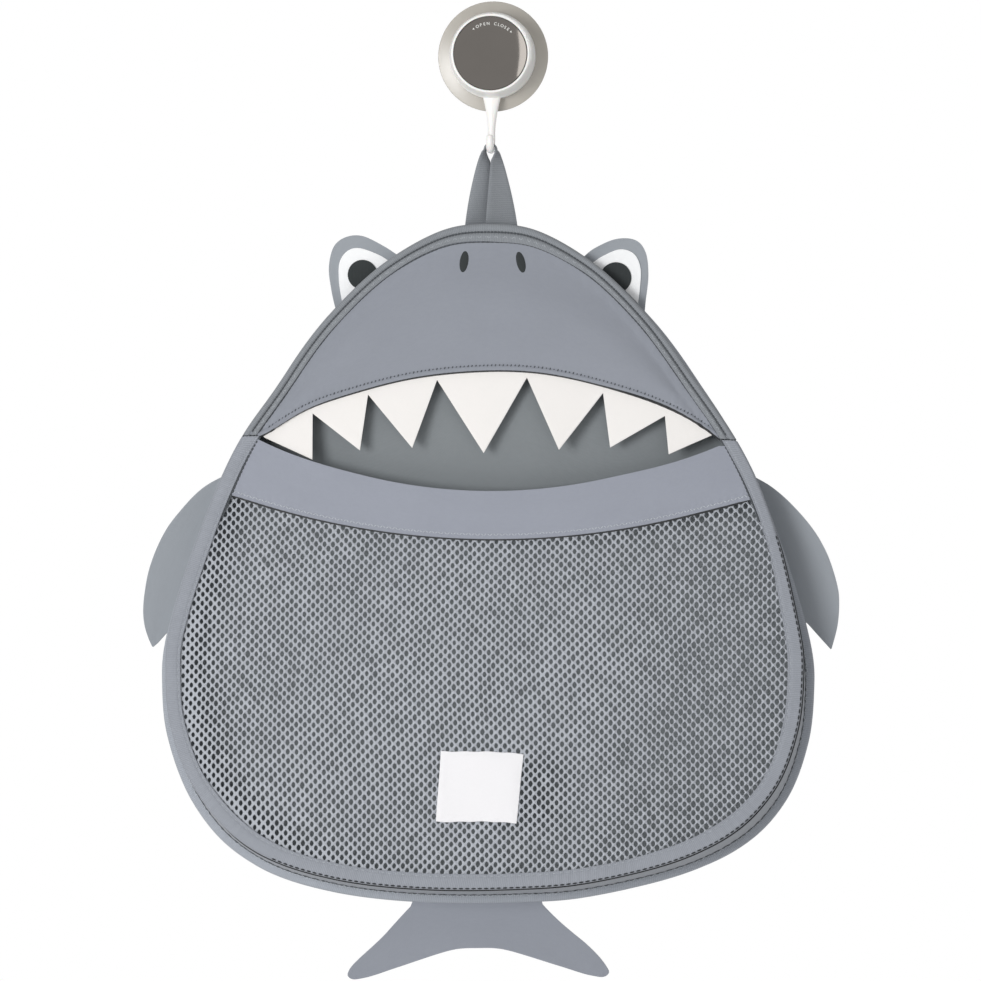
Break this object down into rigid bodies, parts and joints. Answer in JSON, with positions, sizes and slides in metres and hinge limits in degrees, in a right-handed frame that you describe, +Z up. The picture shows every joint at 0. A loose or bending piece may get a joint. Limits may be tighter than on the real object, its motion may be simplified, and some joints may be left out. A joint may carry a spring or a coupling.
{
  "type": "bath toy organizer",
  "caption": "Shark-shaped hanging bath toy pocket with a net front, a wide toothed mouth, side fins and a tail, on a tape loop and a twist-lock suction hook.",
  "frame": {"origin": "middle of the suction cup, on the wall plane", "axes": "+Z up the wall, +Y into the wall, +X to the right of someone facing the wall"},
  "size_m": [0.4102, 0.0542, 0.5755],
  "materials": {
    "clear_vinyl": "gloss",
    "white_plastic": "gloss",
    "dial_mirror": "polished",
    "pin_steel": "satin",
    "grey_cloth": "matte",
    "grey_tape": "matte",
    "grey_net": "matte",
    "white_cloth": "matte",
    "dark_cloth": "matte"
  },
  "bodies": {
    "suction_hook": {"suction_cup": "clear_vinyl", "hook_collar": "white_plastic"},
    "knob": {"twist_knob": "white_plastic", "dial_disc": "dial_mirror"},
    "stem": {"cup_stem": "white_plastic", "cross_pin": "pin_steel"},
    "loop": {"hanging_loop": "grey_tape"},
    "organiser": {"back_panel": "grey_cloth", "back_binding": "grey_tape", "upper_gusset": "grey_cloth", "lower_gusset": "grey_cloth", "upper_binding": "grey_tape", "lower_binding": "grey_tape", "head_panel": "grey_cloth", "teeth_strip": "white_cloth", "lip_band": "grey_cloth", "net_pocket": "grey_net", "label": "white_cloth", "left_nostril": "dark_cloth", "left_eye_tab": "grey_cloth", "left_eye_white": "white_cloth", "left_pupil": "dark_cloth", "right_nostril": "dark_cloth", "right_eye_tab": "grey_cloth", "right_eye_white": "white_cloth", "right_pupil": "dark_cloth"},
    "left_fin": {"left_fin": "grey_cloth"},
    "right_fin": {"right_fin": "grey_cloth"},
    "tail_fin": {"tail_fin": "grey_cloth"}
  },
  "joints": [
    {"name": "knob_turn", "type": "hinge", "parent": "suction_hook", "child": "knob", "pos_m": [0, 0, 0], "axis": [0, -1, 0], "range_deg": [0, 90]},
    {"name": "stem_slide", "type": "slide", "parent": "suction_hook", "child": "stem", "axis": [0, 1, 0], "range_m": [0, 0.00301], "deforming": ["suction_cup"]},
    {"name": "loop_swing", "type": "hinge", "parent": "suction_hook", "child": "loop", "pos_m": [0, -0.01575, -0.0558], "axis": [0, 1, 0], "range_deg": [-25, 25]},
    {"name": "organiser_tilt", "type": "hinge", "parent": "loop", "child": "organiser", "pos_m": [0, -0.0051, -0.1003], "axis": [-1, 0, 0], "range_deg": [0, 25]},
    {"name": "right_fin_flex", "type": "hinge", "parent": "organiser", "child": "right_fin", "pos_m": [0.16025, -0.0028, -0.24839], "axis": [0.3238, 0, -0.9461], "range_deg": [0, 35], "stiffness_Nm_per_rad": 0.005},
    {"name": "left_fin_flex", "type": "hinge", "parent": "organiser", "child": "left_fin", "pos_m": [-0.16025, -0.0028, -0.24839], "axis": [0.3238, 0, 0.9461], "range_deg": [0, 35], "stiffness_Nm_per_rad": 0.005},
    {"name": "tail_flex", "type": "hinge", "parent": "organiser", "child": "tail_fin", "pos_m": [0, -0.0028, -0.4998], "axis": [-1, 0, 0], "range_deg": [0, 35], "stiffness_Nm_per_rad": 0.01}
  ],
  "couplings": [
    {"joint": "stem_slide", "follows": "knob_turn", "m_per_rad": 0.0019099}
  ]
}
